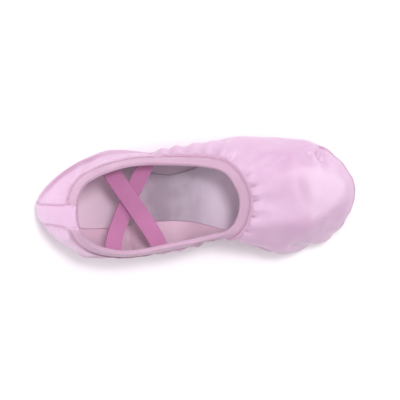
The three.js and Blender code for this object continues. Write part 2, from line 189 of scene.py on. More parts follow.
# -------------------- relief of the satin
# Soft ridges (height above 0) and troughs, from one place on the wall to another.
#   share, depth -> share, depth, width at each end, height at each end
FOLDS = [
    # gathers below the binding on the outer waist
    (0.226, 8, 0.22, 26, 1.5, 3.0, -1.5, -0.5),
    (0.238, 8, 0.236, 24, 1.4, 2.6, 1.3, 0.3),
    (0.25, 8, 0.251, 22, 1.1, 2.2, -1.5, -0.4),
    (0.262, 8, 0.264, 26, 1.5, 2.6, 1.6, 0.5),
    (0.274, 8, 0.278, 24, 1.1, 2.4, -1.7, -0.4),
    (0.287, 8, 0.291, 28, 1.5, 2.8, 1.6, 0.5),
    (0.298, 8, 0.303, 24, 1.1, 2.4, -1.5, -0.4),
    (0.308, 8, 0.312, 28, 1.5, 2.8, 1.5, 0.5),
    (0.32, 8, 0.327, 28, 1.4, 3.2, -2.0, -0.8),
    (0.336, 8, 0.344, 34, 2.4, 6.0, 1.7, 0.8),
    (0.35, 8, 0.352, 16, 1.2, 2.2, -0.9, -0.3),
    (0.361, 9, 0.372, 38, 3.0, 6.0, -1.0, -0.5),
    # the full wall behind these gathers
    (0.245, 17, 0.3, 22, 6.0, 6.5, 2.0, 1.5),
    (0.222, 7, 0.218, 20, 2.2, 3.0, -0.8, -1.0),
    # the same on the inner waist, with other spacing
    (0.782, 8, 0.784, 24, 1.6, 2.6, -1.3, -0.3),
    (0.768, 8, 0.768, 26, 1.5, 2.8, 1.3, 0.4),
    (0.754, 8, 0.752, 24, 1.3, 2.4, -1.4, -0.3),
    (0.739, 8, 0.737, 26, 1.6, 2.8, 1.4, 0.4),
    (0.724, 8, 0.72, 26, 1.3, 2.6, -1.5, -0.4),
    (0.709, 8, 0.704, 28, 1.6, 3.0, 1.4, 0.4),
    (0.694, 8, 0.688, 30, 1.3, 3.0, -1.4, -0.4),
    (0.676, 8, 0.668, 32, 2.0, 4.0, 1.2, 0.4),
    (0.658, 9, 0.64, 30, 2.4, 5.0, -1.2, -0.8),
    (0.698, 13, 0.722, 14, 5.0, 5.0, 1.7, 1.5),
    (0.886, 22, 0.862, 20, 6.0, 6.0, 2.1, 1.2),
    (0.812, 10, 0.78, 12, 5.0, 5.0, -1.0, -1.2),
    # the hollow where the inner ball's satin tucks in below the collar
    (0.65, 8, 0.604, 30, 3.4, 6.0, -2.0, -1.2),
    (0.655, 26, 0.61, 42, 5.0, 6.0, -1.5, -1.0),
    # dimples at the throat and the swells between them
    (0.444, 8.2, 0.447, 12.5, 0.9, 1.6, -1.5, -0.3),
    (0.465, 8.8, 0.466, 22, 1.5, 3.6, 0.8, 0.2),
    (0.487, 8.2, 0.487, 12.5, 0.9, 1.6, -1.5, -0.3),
    (0.51, 8.8, 0.508, 24, 1.5, 3.8, 0.8, 0.2),
    (0.533, 8.2, 0.532, 12, 0.9, 1.5, -1.3, -0.3),
    (0.555, 9, 0.55, 22, 1.6, 3.6, 0.5, 0.1),
    (0.575, 8.5, 0.57, 13, 1.0, 1.8, -0.7, -0.2),
    (0.426, 8.8, 0.43, 24, 1.8, 4.0, 0.7, 0.2),
    (0.408, 8.5, 0.412, 16, 1.1, 2.6, -0.8, -0.2),
    (0.388, 9, 0.394, 24, 2.2, 4.0, 0.6, 0.2),
    # the dent at the toe's outer corner and the rim round it
    (0.433, 74, 0.441, 65, 2.0, 1.9, -1.7, -2.4),
    (0.441, 65, 0.453, 66, 1.9, 2.2, -2.4, -0.9),
    (0.426, 70, 0.435, 60, 2.4, 2.4, 0.8, 1.3),
    (0.435, 60, 0.452, 60, 2.4, 3.0, 1.3, 0.5),
    (0.446, 72, 0.458, 76, 2.4, 3.4, 0.9, 0.6),
    # the crease at the toe's inner corner and the swells each side of it
    (0.572, 50, 0.579, 84, 3.4, 4.2, -1.8, -2.2),
    (0.56, 60, 0.566, 84, 3.4, 3.8, 0.4, 1.0),
    (0.594, 40, 0.6, 78, 4.0, 5.0, 0.6, 0.6),
    # broad swells and hollows of the vamp
    (0.366, 22, 0.388, 48, 5.0, 7.0, -0.8, -0.6),
    (0.386, 30, 0.408, 62, 6.0, 8.0, 0.9, 0.8),
    (0.416, 26, 0.424, 58, 6.0, 7.0, -0.9, -0.7),
    (0.446, 26, 0.47, 78, 7.0, 9.0, 0.7, 0.8),
    (0.5, 26, 0.496, 62, 8.0, 9.0, -0.8, -0.5),
    (0.54, 20, 0.53, 62, 7.0, 8.0, 0.8, 0.6),
    (0.566, 18, 0.552, 48, 6.0, 7.0, -0.7, -0.5),
    (0.606, 40, 0.612, 62, 6.0, 7.0, 0.5, 0.5),
    (0.47, 40, 0.54, 52, 5.0, 6.0, -0.5, 0.3),
    (0.43, 44, 0.48, 56, 4.0, 5.0, 0.5, -0.4),
    # heel: the full line low on the wall, the tuck under it and the creases from the collar
    (0.03, 30, 0.062, 28, 3.0, 3.0, 0.5, 0.5),
    (0.082, 28, 0.14, 27, 3.0, 4.0, 0.5, 0.4),
    (0.03, 41, 0.066, 39, 3.5, 3.5, -0.8, -0.9),
    (0.086, 38, 0.14, 37, 3.5, 4.0, -0.9, -0.6),
    (0.97, 30, 0.938, 28, 3.0, 3.0, 0.5, 0.5),
    (0.97, 41, 0.934, 39, 3.5, 3.5, -0.8, -0.9),
    (0.914, 38, 0.86, 37, 3.5, 4.0, -0.9, -0.5),
    (0.04, 8, 0.03, 24, 1.4, 2.6, -0.8, -0.3),
    (0.054, 8, 0.06, 22, 1.8, 3.0, 0.7, 0.3),
    (0.068, 8, 0.058, 20, 1.2, 2.4, -0.9, -0.3),
    (0.09, 9, 0.11, 22, 2.0, 3.2, 0.7, 0.3),
    (0.104, 8, 0.126, 20, 1.6, 2.8, -0.7, -0.3),
    (0.14, 10, 0.19, 14, 2.2, 2.6, 0.7, 0.5),
    (0.15, 15, 0.2, 20, 2.2, 2.6, -0.8, -0.5),
    (0.2, 9, 0.198, 16, 1.0, 1.8, -1.0, -0.3),
    (0.184, 9, 0.186, 17, 1.5, 2.2, 0.9, 0.2),
    (0.958, 8, 0.966, 22, 1.4, 2.6, -0.8, -0.3),
    (0.942, 8, 0.938, 22, 1.8, 3.0, 0.7, 0.3),
    (0.926, 9, 0.932, 20, 1.3, 2.4, -0.8, -0.3),
    (0.89, 9, 0.88, 22, 2.0, 3.0, 0.6, 0.2),
    (0.85, 10, 0.84, 24, 2.4, 3.2, -0.6, -0.3),
    (0.815, 10, 0.812, 26, 2.2, 3.0, 0.7, 0.3),
]
# Corners of the toe's outline, where the satin is drawn under: share, width round the edge, height.
TOE_CORNERS = [
    (0.378, 5.0, 0.5),
    (0.412, 5.0, 0.8),
    (0.436, 4.0, 1.0),
    (0.462, 3.4, 0.6),
    (0.485, 3.4, 1.0),
    (0.503, 3.2, 0.5),
    (0.522, 3.4, 0.7),
    (0.542, 3.2, 1.4),
    (0.563, 3.2, 0.8),
    (0.594, 5.0, 0.4),
]


def ridge(points, path, width, height):
    """A soft ridge along a path of points, its width and height given at both ends."""
    best = np.full(points.shape[:-1], 1e9)
    value = np.zeros(points.shape[:-1])
    legs = len(path) - 1
    for n in range(legs):
        a, b = path[n], path[n + 1]
        ab = b - a
        t = np.clip(((points - a) @ ab) / max(ab @ ab, 1e-9), 0, 1)
        gap = np.linalg.norm(points - (a + t[..., None] * ab), axis=-1)
        u = (n + t) / legs
        w = width[0] + (width[1] - width[0]) * u
        h = height[0] + (height[1] - height[0]) * u
        closer = gap < best
        value = np.where(closer, h * bell(gap, 0, w), value)
        best = np.minimum(best, gap)
    return value


def waves(points, seed, count, long, size):
    """Gentle unevenness: a sum of seeded waves about `long` millimetres long."""
    rng = np.random.default_rng(seed)
    total = np.zeros(points.shape[:-1])
    for _ in range(count):
        way = unit(rng.normal(size=3)) * 2 * np.pi / (long * rng.uniform(0.7, 1.4))
        total += np.sin(points @ way + rng.uniform(0, 2 * np.pi))
    return total * size / math.sqrt(count)


def press(relief, path, width, height, reach):
    """Adds a ridge to the relief, on the part of the surface within `reach` of its path."""
    near = np.all((SURFACE > path.min(0) - reach) & (SURFACE < path.max(0) + reach), axis=-1)
    relief[near] += ridge(SURFACE[near], path, width, height)


def surface_path(share, down):
    """Surface points along a run of shares and depths; either may be a single number."""
    return look_up([SURFACE], *np.broadcast_arrays(np.asarray(share, float), np.asarray(down, float)))[0]


def satin_relief():
    """Height of the satin above the upper's outer face, over the whole table."""
    relief = np.zeros((ROUND, DEEP + 1))
    u = np.linspace(0, 1, 9)
    for s0, d0, s1, d1, w0, w1, h0, h1 in FOLDS:
        path = surface_path(s0 + (s1 - s0) * u, d0 + (d1 - d0) * u)
        press(relief, path, (w0, w1), (h0, h1), 3.2 * max(w0, w1))
    left = TOTAL[:, None] - DOWN  # distance up from the foot line
    for share, width, height in TOE_CORNERS:
        edge = surface_path([share], [1e3])[0]
        side = np.linalg.norm(SURFACE[:, -1] - edge, axis=-1)[:, None]
        relief += height * bell(side, 0, width) * smooth(left, 1, 9) * (1 - smooth(left, 12, 34))
    # puckers along the strip's two seams
    for way in (-1, 1):
        for n in range(22):
            level = 9.0 + 2.1 * n
            near, far = (
                beside_centre_back(strip_middle(level) + way * (STRIP_WIDTH / 2 + mm), np.array([level]))[0]
                for mm in (0.8, 4.0)
            )
            path = surface_path(np.linspace(near, far, 4), level)
            press(relief, path, (0.7, 1.2), (0.3 * (-1) ** n, 0.0), 4)
    # pleats where the satin is drawn in under the toe and the heel
    rng = np.random.default_rng(11)
    for start, end, count, size in ((0.34, 0.66, 46, 0.55), (0.90, 1.10, 16, 0.35)):
        for n in range(count):
            share = (start + (end - start) * (n + 0.5 + rng.uniform(-0.3, 0.3)) / count) % 1.0
            top = rng.uniform(7, 15)
            height = size * rng.uniform(0.5, 1.0) * (-1) ** n
            path = surface_path(share, np.interp(share, SHARES, TOTAL) - np.linspace(0, top, 6))
            press(relief, path, (1.1, 1.8), (height, 0.0), 5)
    # small puckers all along the binding's seam
    puckers = 96
    for n in range(puckers):
        share = (n + rng.uniform(0.2, 0.8)) / puckers
        if min(share, 1 - share) < 0.05:
            continue
        reach, height = rng.uniform(2, 6), rng.uniform(0.08, 0.3) * (-1) ** n
        press(relief, surface_path(share, BINDING + np.linspace(0, reach, 4)), (0.9, 1.4), (height, 0.0), 5)
    relief += waves(SURFACE, 3, 9, 42, 0.20) + waves(SURFACE, 5, 12, 15, 0.08)
    # quieter under the binding, under the strip and at the foot line
    quiet = 0.35 + 0.65 * smooth(DOWN, 5.5, 9.5)
    beside_strip = smooth(np.abs((SHARES + 0.5) % 1.0 - 0.5), 0.010, 0.030)[:, None]
    return relief * quiet * (0.35 + 0.65 * beside_strip) * smooth(left, -1, 1.5)


RELIEF = satin_relief()[..., None]


# -------------------- meshes
def weld(points, faces, tolerance=1e-3):
    """Merges points that coincide and drops the faces that this folds flat."""
    key = np.round(points / tolerance).astype(np.int64)
    _, first, back = np.unique(key, axis=0, return_index=True, return_inverse=True)
    back = back.ravel()
    kept, corners = [], []
    for face in faces:
        ids, places = [], []
        for n, i in enumerate(back[list(face)]):
            if i not in ids:
                ids.append(int(i))
                places.append(n)
        kept.append(ids if len(ids) > 2 else None)
        corners.append(places)
    return points[first], kept, corners


def piece(name, points, faces, materials, uv=None, painted_shade=None, slot_of=None):
    """A mesh object in the row frame, in metres, from points in millimetres. uv is each point's place on the
    cloth in millimetres, the painted-shade array how much painted shade deepens its colour, and slot_of each
    face's material."""
    welded, kept, corners = weld(points, faces)
    pairs = [(f, i) for i, f in enumerate(kept) if f]
    mesh = bpy.data.meshes.new(name)
    mesh.from_pydata(((welded - ORIGIN) / 1000.0).tolist(), [], [f for f, _ in pairs])
    for m in materials:
        mesh.materials.append(m)
    if slot_of is not None:
        mesh.polygons.foreach_set("material_index", [int(slot_of[i]) for _, i in pairs])
    index = np.concatenate([np.asarray(faces[i])[corners[i]] for _, i in pairs])
    if painted_shade is not None:
        layer = mesh.attributes.new("painted_shade", "FLOAT", "CORNER")
        layer.data.foreach_set("value", painted_shade.ravel()[index])
    if uv is not None:
        layer = mesh.uv_layers.new(name="cloth")
        layer.data.foreach_set("uv", (uv.reshape(-1, 2)[index] / 1000.0).ravel())
    mesh.shade_smooth()
    mesh.update()
    obj = bpy.data.objects.new(name, mesh)
    bpy.context.collection.objects.link(obj)
    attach(obj, "root")
    return obj


def tube(rows, columns):
    """Quads over a grid of points stored row by row, where each row is a closed ring."""
    r, c = [g.ravel() for g in np.meshgrid(np.arange(rows - 1), np.arange(columns), indexing="ij")]
    r, c, r2, c2 = r * columns, c, (r + 1) * columns, (c + 1) % columns
    return np.stack([r + c, r2 + c, r2 + c2, r + c2], 1)


def two_faced(skin, under):
    """Rows that run across a skin and back across the face under it."""
    return np.concatenate([skin, under[:, ::-1]], axis=1)


def band(name, skin, under, look, uv, painted_shade=None):
    """A strip of cloth as a closed piece: its two faces, its edges and its ends."""
    shell = two_faced(skin, under)
    n, m = shell.shape[:2]
    faces = [tuple(f) for f in tube(n, m)]
    faces += [tuple(range(m))[::-1], tuple(range((n - 1) * m, n * m))]
    if painted_shade is not None:
        painted_shade = two_faced(painted_shade, painted_shade)
    return piece(name, shell.reshape(-1, 3), faces, [look.material], two_faced(uv, uv), painted_shade)


def threads(name, starts, ends, normals, radius, arch, look, rings=6, sides=6):
    """Short stitches as one mesh: each runs from a start to an end and bulges out of the cloth."""
    u = np.linspace(0, 1, rings)
    along = unit(ends - starts)
    side = unit(np.cross(along, normals))
    up = unit(np.cross(side, along))
    centre = starts[:, None] + (ends - starts)[:, None] * u[None, :, None]
    centre = centre + up[:, None] * (arch * np.sin(np.pi * u) - 0.5 * radius)[None, :, None]
    thick = radius * np.sqrt(np.clip(1 - (2 * u - 1) ** 4, 0.02, 1))
    angle = np.arange(sides) * 2 * np.pi / sides
    wheel = np.cos(angle)[None, :, None] * side[:, None] + np.sin(angle)[None, :, None] * up[:, None]
    points = centre[:, :, None] + wheel[:, None] * thick[None, :, None, None]
    walls = tube(rings, sides)[:, ::-1]
    first = np.arange(sides)
    caps = np.array([first, first[::-1] + (rings - 1) * sides])
    faces = []
    for base in range(0, len(starts) * rings * sides, rings * sides):
        faces.extend(map(tuple, walls + base))
        faces.extend(map(tuple, caps + base))
    return piece(name, points.reshape(-1, 3), faces, [look.material])


def run_along(points):
    """Distance along a path to each of its points."""
    return np.concatenate([[0], np.cumsum(np.linalg.norm(np.diff(points, axis=0), axis=1))])


def even_places(points, pitch):
    """Places every `pitch` along a path, as fractional indices into it."""
    run = run_along(points)
    return np.interp(np.arange(0, run[-1], pitch), run, np.arange(len(points)))


def pick(array, places):
    """Values of an array at fractional indices."""
    i = np.minimum(np.floor(places).astype(int), len(array) - 2)
    f = (places - i)[:, None]
    return array[i] * (1 - f) + array[i + 1] * f


def running_stitch(name, points, normals, pitch, length, radius, arch, look):
    """Stitches of a length, one every `pitch` along a path."""
    at, run, index = even_places(points, pitch), run_along(points), np.arange(len(points))
    end = np.interp(np.minimum(np.interp(at, index, run) + length, run[-1]), run, index)
    good = end - at > 1e-6
    at, end = at[good], end[good]
    starts, ends, ups = pick(points, at), pick(points, end), unit(pick(normals, at))
    return threads(name, starts, ends, ups, radius, arch, look)


# -------------------- materials
def linear(r, g, b):
    """A screen colour, 0 to 255, as linear numbers."""
    v = [x / 255.0 for x in (r, g, b)]
    return tuple(x / 12.92 if x <= 0.04045 else ((x + 0.055) / 1.055) ** 2.4 for x in v) + (1.0,)


class Look:
    """A Principled material with its nodes."""

    def __init__(self, name, roughness, **sockets):
        self.material = bpy.data.materials.new(name)
        self.material.use_nodes = True
        self.tree = self.material.node_tree
        self.shader = next(n for n in self.tree.nodes if n.type == "BSDF_PRINCIPLED")
        self.shader.inputs["Roughness"].default_value = roughness
        for key, value in sockets.items():
            self.shader.inputs[key.replace("_", " ")].default_value = value
        self.height = None

    def node(self, kind, inputs=None, **settings):
        n = self.tree.nodes.new(kind)
        for key, value in settings.items():
            setattr(n, key, value)
        for key, value in (inputs or {}).items():
            if isinstance(value, bpy.types.NodeSocket):
                self.tree.links.new(value, n.inputs[key])
            else:
                n.inputs[key].default_value = value
        return n

    def coordinates(self, uv=False, scale=(1, 1, 1)):
        """Metres along the cloth with uv, or else in the shoe's frame."""
        source = self.node("ShaderNodeTexCoord").outputs["UV" if uv else "Object"]
        return self.node("ShaderNodeMapping", {"Vector": source, "Scale": scale}).outputs["Vector"]

    def noise(self, where, scale, detail=2.0, roughness=0.5):
        inputs = {"Vector": where, "Scale": scale, "Detail": detail, "Roughness": roughness}
        return self.node("ShaderNodeTexNoise", inputs).outputs["Fac"]

    def wave(self, where, pitch, direction="X", distortion=0.0, detail_scale=1.0):
        """Threads or ribs `pitch` metres apart: Blender's bands repeat every 2 pi / 20 of their scale."""
        inputs = {"Vector": where, "Scale": 2 * math.pi / 20 / pitch, "Detail": 1.0}
        inputs.update({"Distortion": distortion, "Detail Scale": detail_scale})
        bands = self.node("ShaderNodeTexWave", inputs, wave_type="BANDS", bands_direction=direction)
        return bands.outputs["Fac"]

    def shade(self):
        """The pieces' own attribute of painted shade: how much deeper the colour is here."""
        return self.node("ShaderNodeAttribute", attribute_name="painted_shade").outputs["Fac"]

    def total(self, *terms, plus=0.0):
        """The sum of values times their weights."""
        for value, weight in terms:
            inputs = {0: value, 1: weight, 2: plus}
            plus = self.node("ShaderNodeMath", inputs, operation="MULTIPLY_ADD").outputs[0]
        return plus

    def colours(self, factor, *stops):
        """Base colour from a ramp: each stop is a place and a screen colour."""
        ramp = self.node("ShaderNodeValToRGB", {"Fac": factor})
        points = ramp.color_ramp.elements
        while len(points) < len(stops):
            points.new(0.5)
        for point, (place, *colour) in zip(points, stops):
            point.position = place
            point.color = linear(*colour)
        self.tree.links.new(ramp.outputs["Color"], self.shader.inputs["Base Color"])

    def bump(self, height, distance, strength=1.0):
        """Adds a bump; later ones lie on earlier ones."""
        inputs = {"Height": height, "Distance": distance, "Strength": strength}
        if self.height is not None:
            inputs["Normal"] = self.height
        self.height = self.node("ShaderNodeBump", inputs).outputs["Normal"]
        self.tree.links.new(self.height, self.shader.inputs["Normal"])

    def rough(self, value):
        self.tree.links.new(value, self.shader.inputs["Roughness"])

    def glow(self, r, g, b, strength):
        """A faint light of its own, for what bounces about inside the shoe."""
        self.shader.inputs["Emission Color"].default_value = (r, g, b, 1.0)
        self.shader.inputs["Emission Strength"].default_value = strength


def woven(name, roughness, pitch, depth, **sockets):
    """Plain woven cloth, its threads `pitch` metres apart, with a tone that varies with them and by place."""
    look = Look(name, roughness, **sockets)
    cloth, solid = look.coordinates(uv=True), look.coordinates()
    warp, weft = (look.wave(cloth, pitch, way, 0.6, 3.0) for way in "XY")
    weave = look.node("ShaderNodeMath", {0: warp, 1: weft}, operation="MAXIMUM").outputs[0]
    look.tone = look.total((weave, 0.35), (look.noise(solid, 90.0, 3.0), 0.65))
    look.bump(weave, depth)
    look.bump(look.noise(solid, 2400.0, 3.0), depth * 0.6)
    return look


SATIN = Look(
    "satin",
    0.3,
    Specular_IOR_Level=0.75,
    Sheen_Weight=0.12,
    Sheen_Roughness=0.35,
    Sheen_Tint=(1.0, 0.9, 1.0, 1.0),
)
_cloth, _cloud = SATIN.coordinates(uv=True), SATIN.noise(SATIN.coordinates(), 26.0, 3.0, 0.55)
# the satin's tone varies at random, and painted shade from the pieces' own attribute deepens it
_tone = SATIN.total((_cloud, 0.3), (SATIN.shade(), -0.6), plus=0.6)
SATIN.colours(_tone, (0.12, 128, 63, 99), (0.42, 163, 109, 148), (0.68, 189, 150, 181), (0.88, 201, 171, 196))
SATIN.bump(SATIN.noise(SATIN.coordinates(scale=(1, 1, 1.4)), 95.0, 4.0, 0.55), 0.0012, 0.16)
_warp, _weft = SATIN.wave(_cloth, 0.00042, "X", 0.8, 2.0), SATIN.wave(_cloth, 0.00105, "Y", 0.8, 2.0)
SATIN.bump(SATIN.total((_warp, 0.7), (_weft, 0.3)), 0.00003, 0.6)
# Roughness stays above 0.275. Below it the denoiser takes satin for a mirror and draws outlines on it.
SATIN.rough(SATIN.total((_cloud, 0.1), plus=0.265))

LINING = woven("cotton_lining", 0.9, 0.0004, 0.00003, Sheen_Weight=0.2)
# painted shade from the pieces' own attribute deepens the lining's tone
_tone = LINING.total((LINING.tone, 0.4), (LINING.shade(), -0.6), plus=0.55)
LINING.colours(_tone, (0.05, 178, 160, 178), (0.6, 206, 169, 191), (0.9, 220, 186, 204))
LINING.glow(1.0, 0.82, 0.92, 0.03)

COTTON = woven("cotton_insole", 0.92, 0.00045, 0.00003, Sheen_Weight=0.2)
_along = COTTON.node("ShaderNodeSeparateXYZ", {"Vector": COTTON.coordinates(uv=True)}).outputs["X"]
# Painted shade: the insole's colour runs greyest under the arch and lighter towards the heel and the toe.
COTTON.colours(  # greyest under the arch
    COTTON.total((_along, 4.6), (COTTON.tone, 0.16)),
    (0.15, 232, 202, 220),
    (0.32, 214, 190, 207),
    (0.46, 144, 128, 143),
    (0.60, 212, 197, 214),
    (0.80, 246, 226, 246),
)
COTTON.glow(1.0, 0.86, 0.94, 0.03)

TAPE = woven("binding_tape", 0.62, 0.00042, 0.00008, Sheen_Weight=0.3)
# painted shade from the pieces' own attribute deepens the tape's tone along its lower edge at the inner waist
_tone = TAPE.total((TAPE.tone, 0.5), (TAPE.shade(), -1.0), plus=0.5)
TAPE.colours(_tone, (0.0, 120, 56, 92), (0.55, 170, 132, 158), (0.88, 187, 150, 175))
THREAD, DARK_THREAD = (woven(name, 0.6, 0.0003, 0.00002) for name in ("thread", "seam_thread"))
THREAD.colours(THREAD.tone, (0.3, 214, 165, 198), (0.7, 232, 190, 218))
# The seam thread is darker, partly as a darker thread and partly as painted shade of the grooves its stitches
# lie in.
DARK_THREAD.colours(DARK_THREAD.tone, (0.3, 190, 138, 172), (0.7, 206, 156, 190))

ELASTIC = Look("elastic_rib", 0.62, Sheen_Weight=0.35, Sheen_Roughness=0.5)
_cloth, _solid = ELASTIC.coordinates(uv=True), ELASTIC.coordinates()
_rib, _pick = ELASTIC.wave(_cloth, 0.001, "X"), ELASTIC.wave(_cloth, 0.00045, "Y", 1.2, 2.0)
_tone = ELASTIC.total((_rib, 0.6), (ELASTIC.noise(_solid, 140.0, 3.0), 0.4))
ELASTIC.colours(_tone, (0.15, 160, 90, 136), (0.8, 176, 106, 151))
ELASTIC.bump(_pick, 0.00003, 0.5)
ELASTIC.bump(ELASTIC.noise(_solid, 3000.0, 2.0), 0.00004, 0.5)

SUEDE = Look("suede", 0.95, Sheen_Weight=0.5, Sheen_Roughness=0.6, Specular_IOR_Level=0.2)
_solid = SUEDE.coordinates()
_nap = SUEDE.noise(_solid, 900.0, 5.0, 0.7)
_tone = SUEDE.total((_nap, 0.4), (SUEDE.noise(_solid, 45.0, 3.0), 0.6))
SUEDE.colours(_tone, (0.3, 188, 152, 150), (0.7, 216, 184, 180))
SUEDE.bump(_nap, 0.00025, 0.8)


# -------------------- the upper
WALL_ROUND = 330.0  # about how far it is round the wall, half way down
COLLAR_ROUND = 300.0  # and round the collar's edge
SATIN_ROUND, TAPE_ROUND = 520.0, 400.0  # as the weave counts it
SIDE_SEAMS = (0.803, 0.180)  # the lining's, as shares


def away_round(share, place):
    """Signed share from a place to a share, the short way round."""
    return (share - place + 0.5) % 1.0 - 0.5


def across_under(inner, outer, steps, lift):
    """Points across the underside from the inner side of the foot to the outer, without the ends."""
    t = np.arange(1, steps)[None, :, None] / steps
    plan = inner[:, None, :2] * (1 - t) + outer[:, None, :2] * t
    return np.concatenate([plan, underside(plan[..., :1]) + lift], -1)


def lining_relief(share, down):
    """Where the lining lies: thin under the binding, following the gathers a little, a seam on each side."""
    folds = look_up([RELIEF], share, down)[0][..., 0]
    thin = 0.55
    soft = np.minimum(0.35 * folds, folds) - thin - (WALL - thin) * smooth(down, 7.0, 15.0)
    shown = smooth(down, 8.0, 11.0)
    for seam in SIDE_SEAMS:
        across = away_round(share, seam) * WALL_ROUND
        soft = soft - 1.2 * shown * np.exp(-((across / 1.3) ** 4)) + 0.5 * shown * bell(across, 2.2, 0.8)
    rng = np.random.default_rng(23)
    puckers = 40
    for n in range(puckers):
        across = away_round(share, (n + rng.uniform(0.2, 0.8)) / puckers) * WALL_ROUND
        height, width, reach = rng.uniform(-0.5, 0.25), rng.uniform(1.2, 2.6), rng.uniform(8, 20)
        soft = soft + height * bell(across, 0, width) * bell(down, 8.0, reach)
    return soft


# Painted shade where the satin turns under, all round, in distances up from the foot line: the widest line,
# how far up the
#  painted shade reaches, and how deep that painted shade is.
#   share, widest, reach, depth
TURN_UNDER = [
    (0, 14, 18, 0.3),
    (0.03, 15, 28, 0.55),
    (0.067, 18, 33, 0.6),
    (0.1, 18, 35, 0.6),
    (0.144, 16, 30, 0.5),
    (0.2, 19, 27, 0.35),
    (0.26, 24, 28, 0.26),
    (0.32, 22, 26, 0.2),
    (0.38, 16, 19, 0.15),
    (0.42, 13, 17, 0.3),
    (0.44, 12, 16.5, 0.5),
    (0.5, 10, 14, 0.52),
    (0.53, 12, 16.5, 0.45),
    (0.56, 14, 18, 0.2),
    (0.58, 15, 24, 0.3),
    (0.59, 25, 40, 0.5),
    (0.6, 38, 64, 0.7),
    (0.62, 46, 66, 0.75),
    (0.64, 50, 58, 0.8),
    (0.67, 40, 46, 0.8),
    (0.7, 33, 38, 0.8),
    (0.75, 33, 42, 0.9),
    (0.785, 34, 49, 1.00),
    (0.83, 34, 49, 1.00),
    (0.855, 32, 43, 0.9),
    (0.875, 31, 39, 0.6),
    (0.9, 29, 33, 0.35),
    (0.95, 23, 25, 0.2),
    (1, 14, 18, 0.3),
]


def painted_turn_shade(share, away):
    """How much painted shade deepens the satin's colour where it turns under, `away` up from the foot line.
    """
    places, *columns = np.array(TURN_UNDER).T
    widest, reach, depth = (np.interp(share, places, c) for c in columns)
    below = 0.2 + 0.8 * smooth(away, widest - 9.0, widest - 1.0)
    return depth * (1 - smooth(away, reach - 0.4 * (reach - widest), reach)) * below


def upper_side(share, count, lining):
    """One side of the satin or of the lining: its points, their places on the cloth and their distances up
    from the foot line. Two rows lie under the binding, and the rest run evenly down to the foot line."""
    total = np.interp(share % 1.0, np.append(SHARES, 1.0), np.append(TOTAL, TOTAL[0]))[:, None]
    t = np.linspace(0, 1, count - 2)
    down = np.hstack([0 * total, 0 * total + 3.5, 6.5 + (total - 6.5) * t])
    share = np.broadcast_to(share[:, None], down.shape)
    points, _ = on_wall(share, down, lining_relief(share, down), 0.0) if lining else on_wall(share, down)
    return points, np.stack([share * SATIN_ROUND, down], -1), total - down


def build_upper():
    """Satin and lining as one closed skin: each row goes round a cross-section, from the inner side's collar
    edge down the satin, across underneath, up the outer side and back along the lining."""
    half, satin_rows, lining_rows, steps = 320, 96, 36, 8
    share = np.arange(half + 1) / (2.0 * half)
    satin_in, satin_out = (upper_side(s, satin_rows, False) for s in (-share, share))
    lining_in, lining_out = (upper_side(s, lining_rows, True) for s in (-share, share))
    under = across_under(satin_in[0][:, -1], satin_out[0][:, -1], steps, 0.0)
    above = across_under(lining_in[0][:, -1], lining_out[0][:, -1], steps, WALL)

    def loop(kind, under, above):
        parts = [satin_in[kind], under, satin_out[kind][:, ::-1], lining_out[kind], above[:, ::-1]]
        return np.concatenate(parts + [lining_in[kind][:, ::-1]], axis=1)

    grid = loop(0, under, above)
    rows, columns = grid.shape[:2]
    lining_from = 2 * satin_rows + steps - 1
    # painted shade where the satin turns under and across its underside; inside, painted shade makes the
    # lining greyer on the outer side of the foot
    shade_in = painted_turn_shade(-share[:, None] % 1.0, satin_in[2])
    shade_out = painted_turn_shade(share[:, None] % 1.0, satin_out[2])
    painted_lining_shade = smooth(share, 0.10, 0.18) * (1 - smooth(share, 0.42, 0.48))
    painted_shade = np.zeros((rows, columns))
    painted_shade[:, :lining_from] = np.hstack([shade_in, np.full((rows, steps - 1), 0.35), shade_out[:, ::-1]])
    painted_shade[:, lining_from : lining_from + lining_rows] = painted_lining_shade[:, None]
    return piece(
        "satin_upper",
        grid.reshape(-1, 3),
        tube(rows, columns)[:, ::-1].tolist(),
        [SATIN.material, LINING.material],
        uv=loop(1, under[..., :2], above[..., :2]),
        painted_shade=painted_shade,
        slot_of=np.tile(np.arange(columns) >= lining_from - 1, rows - 1),
    )


upper = build_upper()
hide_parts("upper")


# -------------------- the binding round the collar
#   name, share on the outer side, share on the inner side, sag at the middle
ELASTICS = [
    ("elastic_over", 0.146, 0.770, 2.8),
    ("elastic_under", 0.212, 0.846, 4.8),
]
ELASTIC_LEADS = [4.0, 9.0]  # how far they lead in from the outer and the inner wall before they turn
ROLL = 1.1  # radius of the soft roll over the collar's edge
ROLL_AT = -0.25  # and its middle, outside the upper's outer face
TAPE_THICK = 0.6
TAPE_SEAM = 5.6  # how far below the collar's edge the tape is stitched
# The tape's loft: puffed between edge and seam and at its rim, drawn down at the seam.
#   depth, width, height
LOFT = [
    (2.8, 2.0, 0.25),
    (7.0, 0.5, 0.42),
    (TAPE_SEAM, 0.7, -0.50),
]


def over_elastic(share, depth):
    """How far the binding's inner leg is pushed in by the elastics' ends under it."""
    push = np.zeros_like(share)
    for _, outer, inner, _ in ELASTICS:
        for place in (outer, inner):
            across = np.abs(away_round(share, place)) * COLLAR_ROUND
            push = np.maximum(push, 1 - smooth(across, 4.6, 6.4))
    return 1.1 * push * smooth(depth, 3.5, 7.5)


def fold_profile(outer_depth, inner_depth, steps, turns):
    """Depth, distance outside and which points are inside, round a folded tape: up the outside, over the roll
    and down the inside."""
    up = np.linspace(outer_depth, 0.6, steps)
    turn = np.linspace(0, np.pi, turns + 2)[1:-1]
    back = np.linspace(0.6, inner_depth, steps)
    depth = np.concatenate([up, 0.6 - ROLL * 0.9 * np.sin(turn), back])
    out = np.concatenate([np.full(steps, ROLL), ROLL * np.cos(turn), np.full(steps, -ROLL)]) + ROLL_AT
    return depth, out, np.arange(len(depth)) >= steps + turns


def tape_loft(depth):
    return sum(height * bell(depth, at, width) for at, width, height in LOFT)


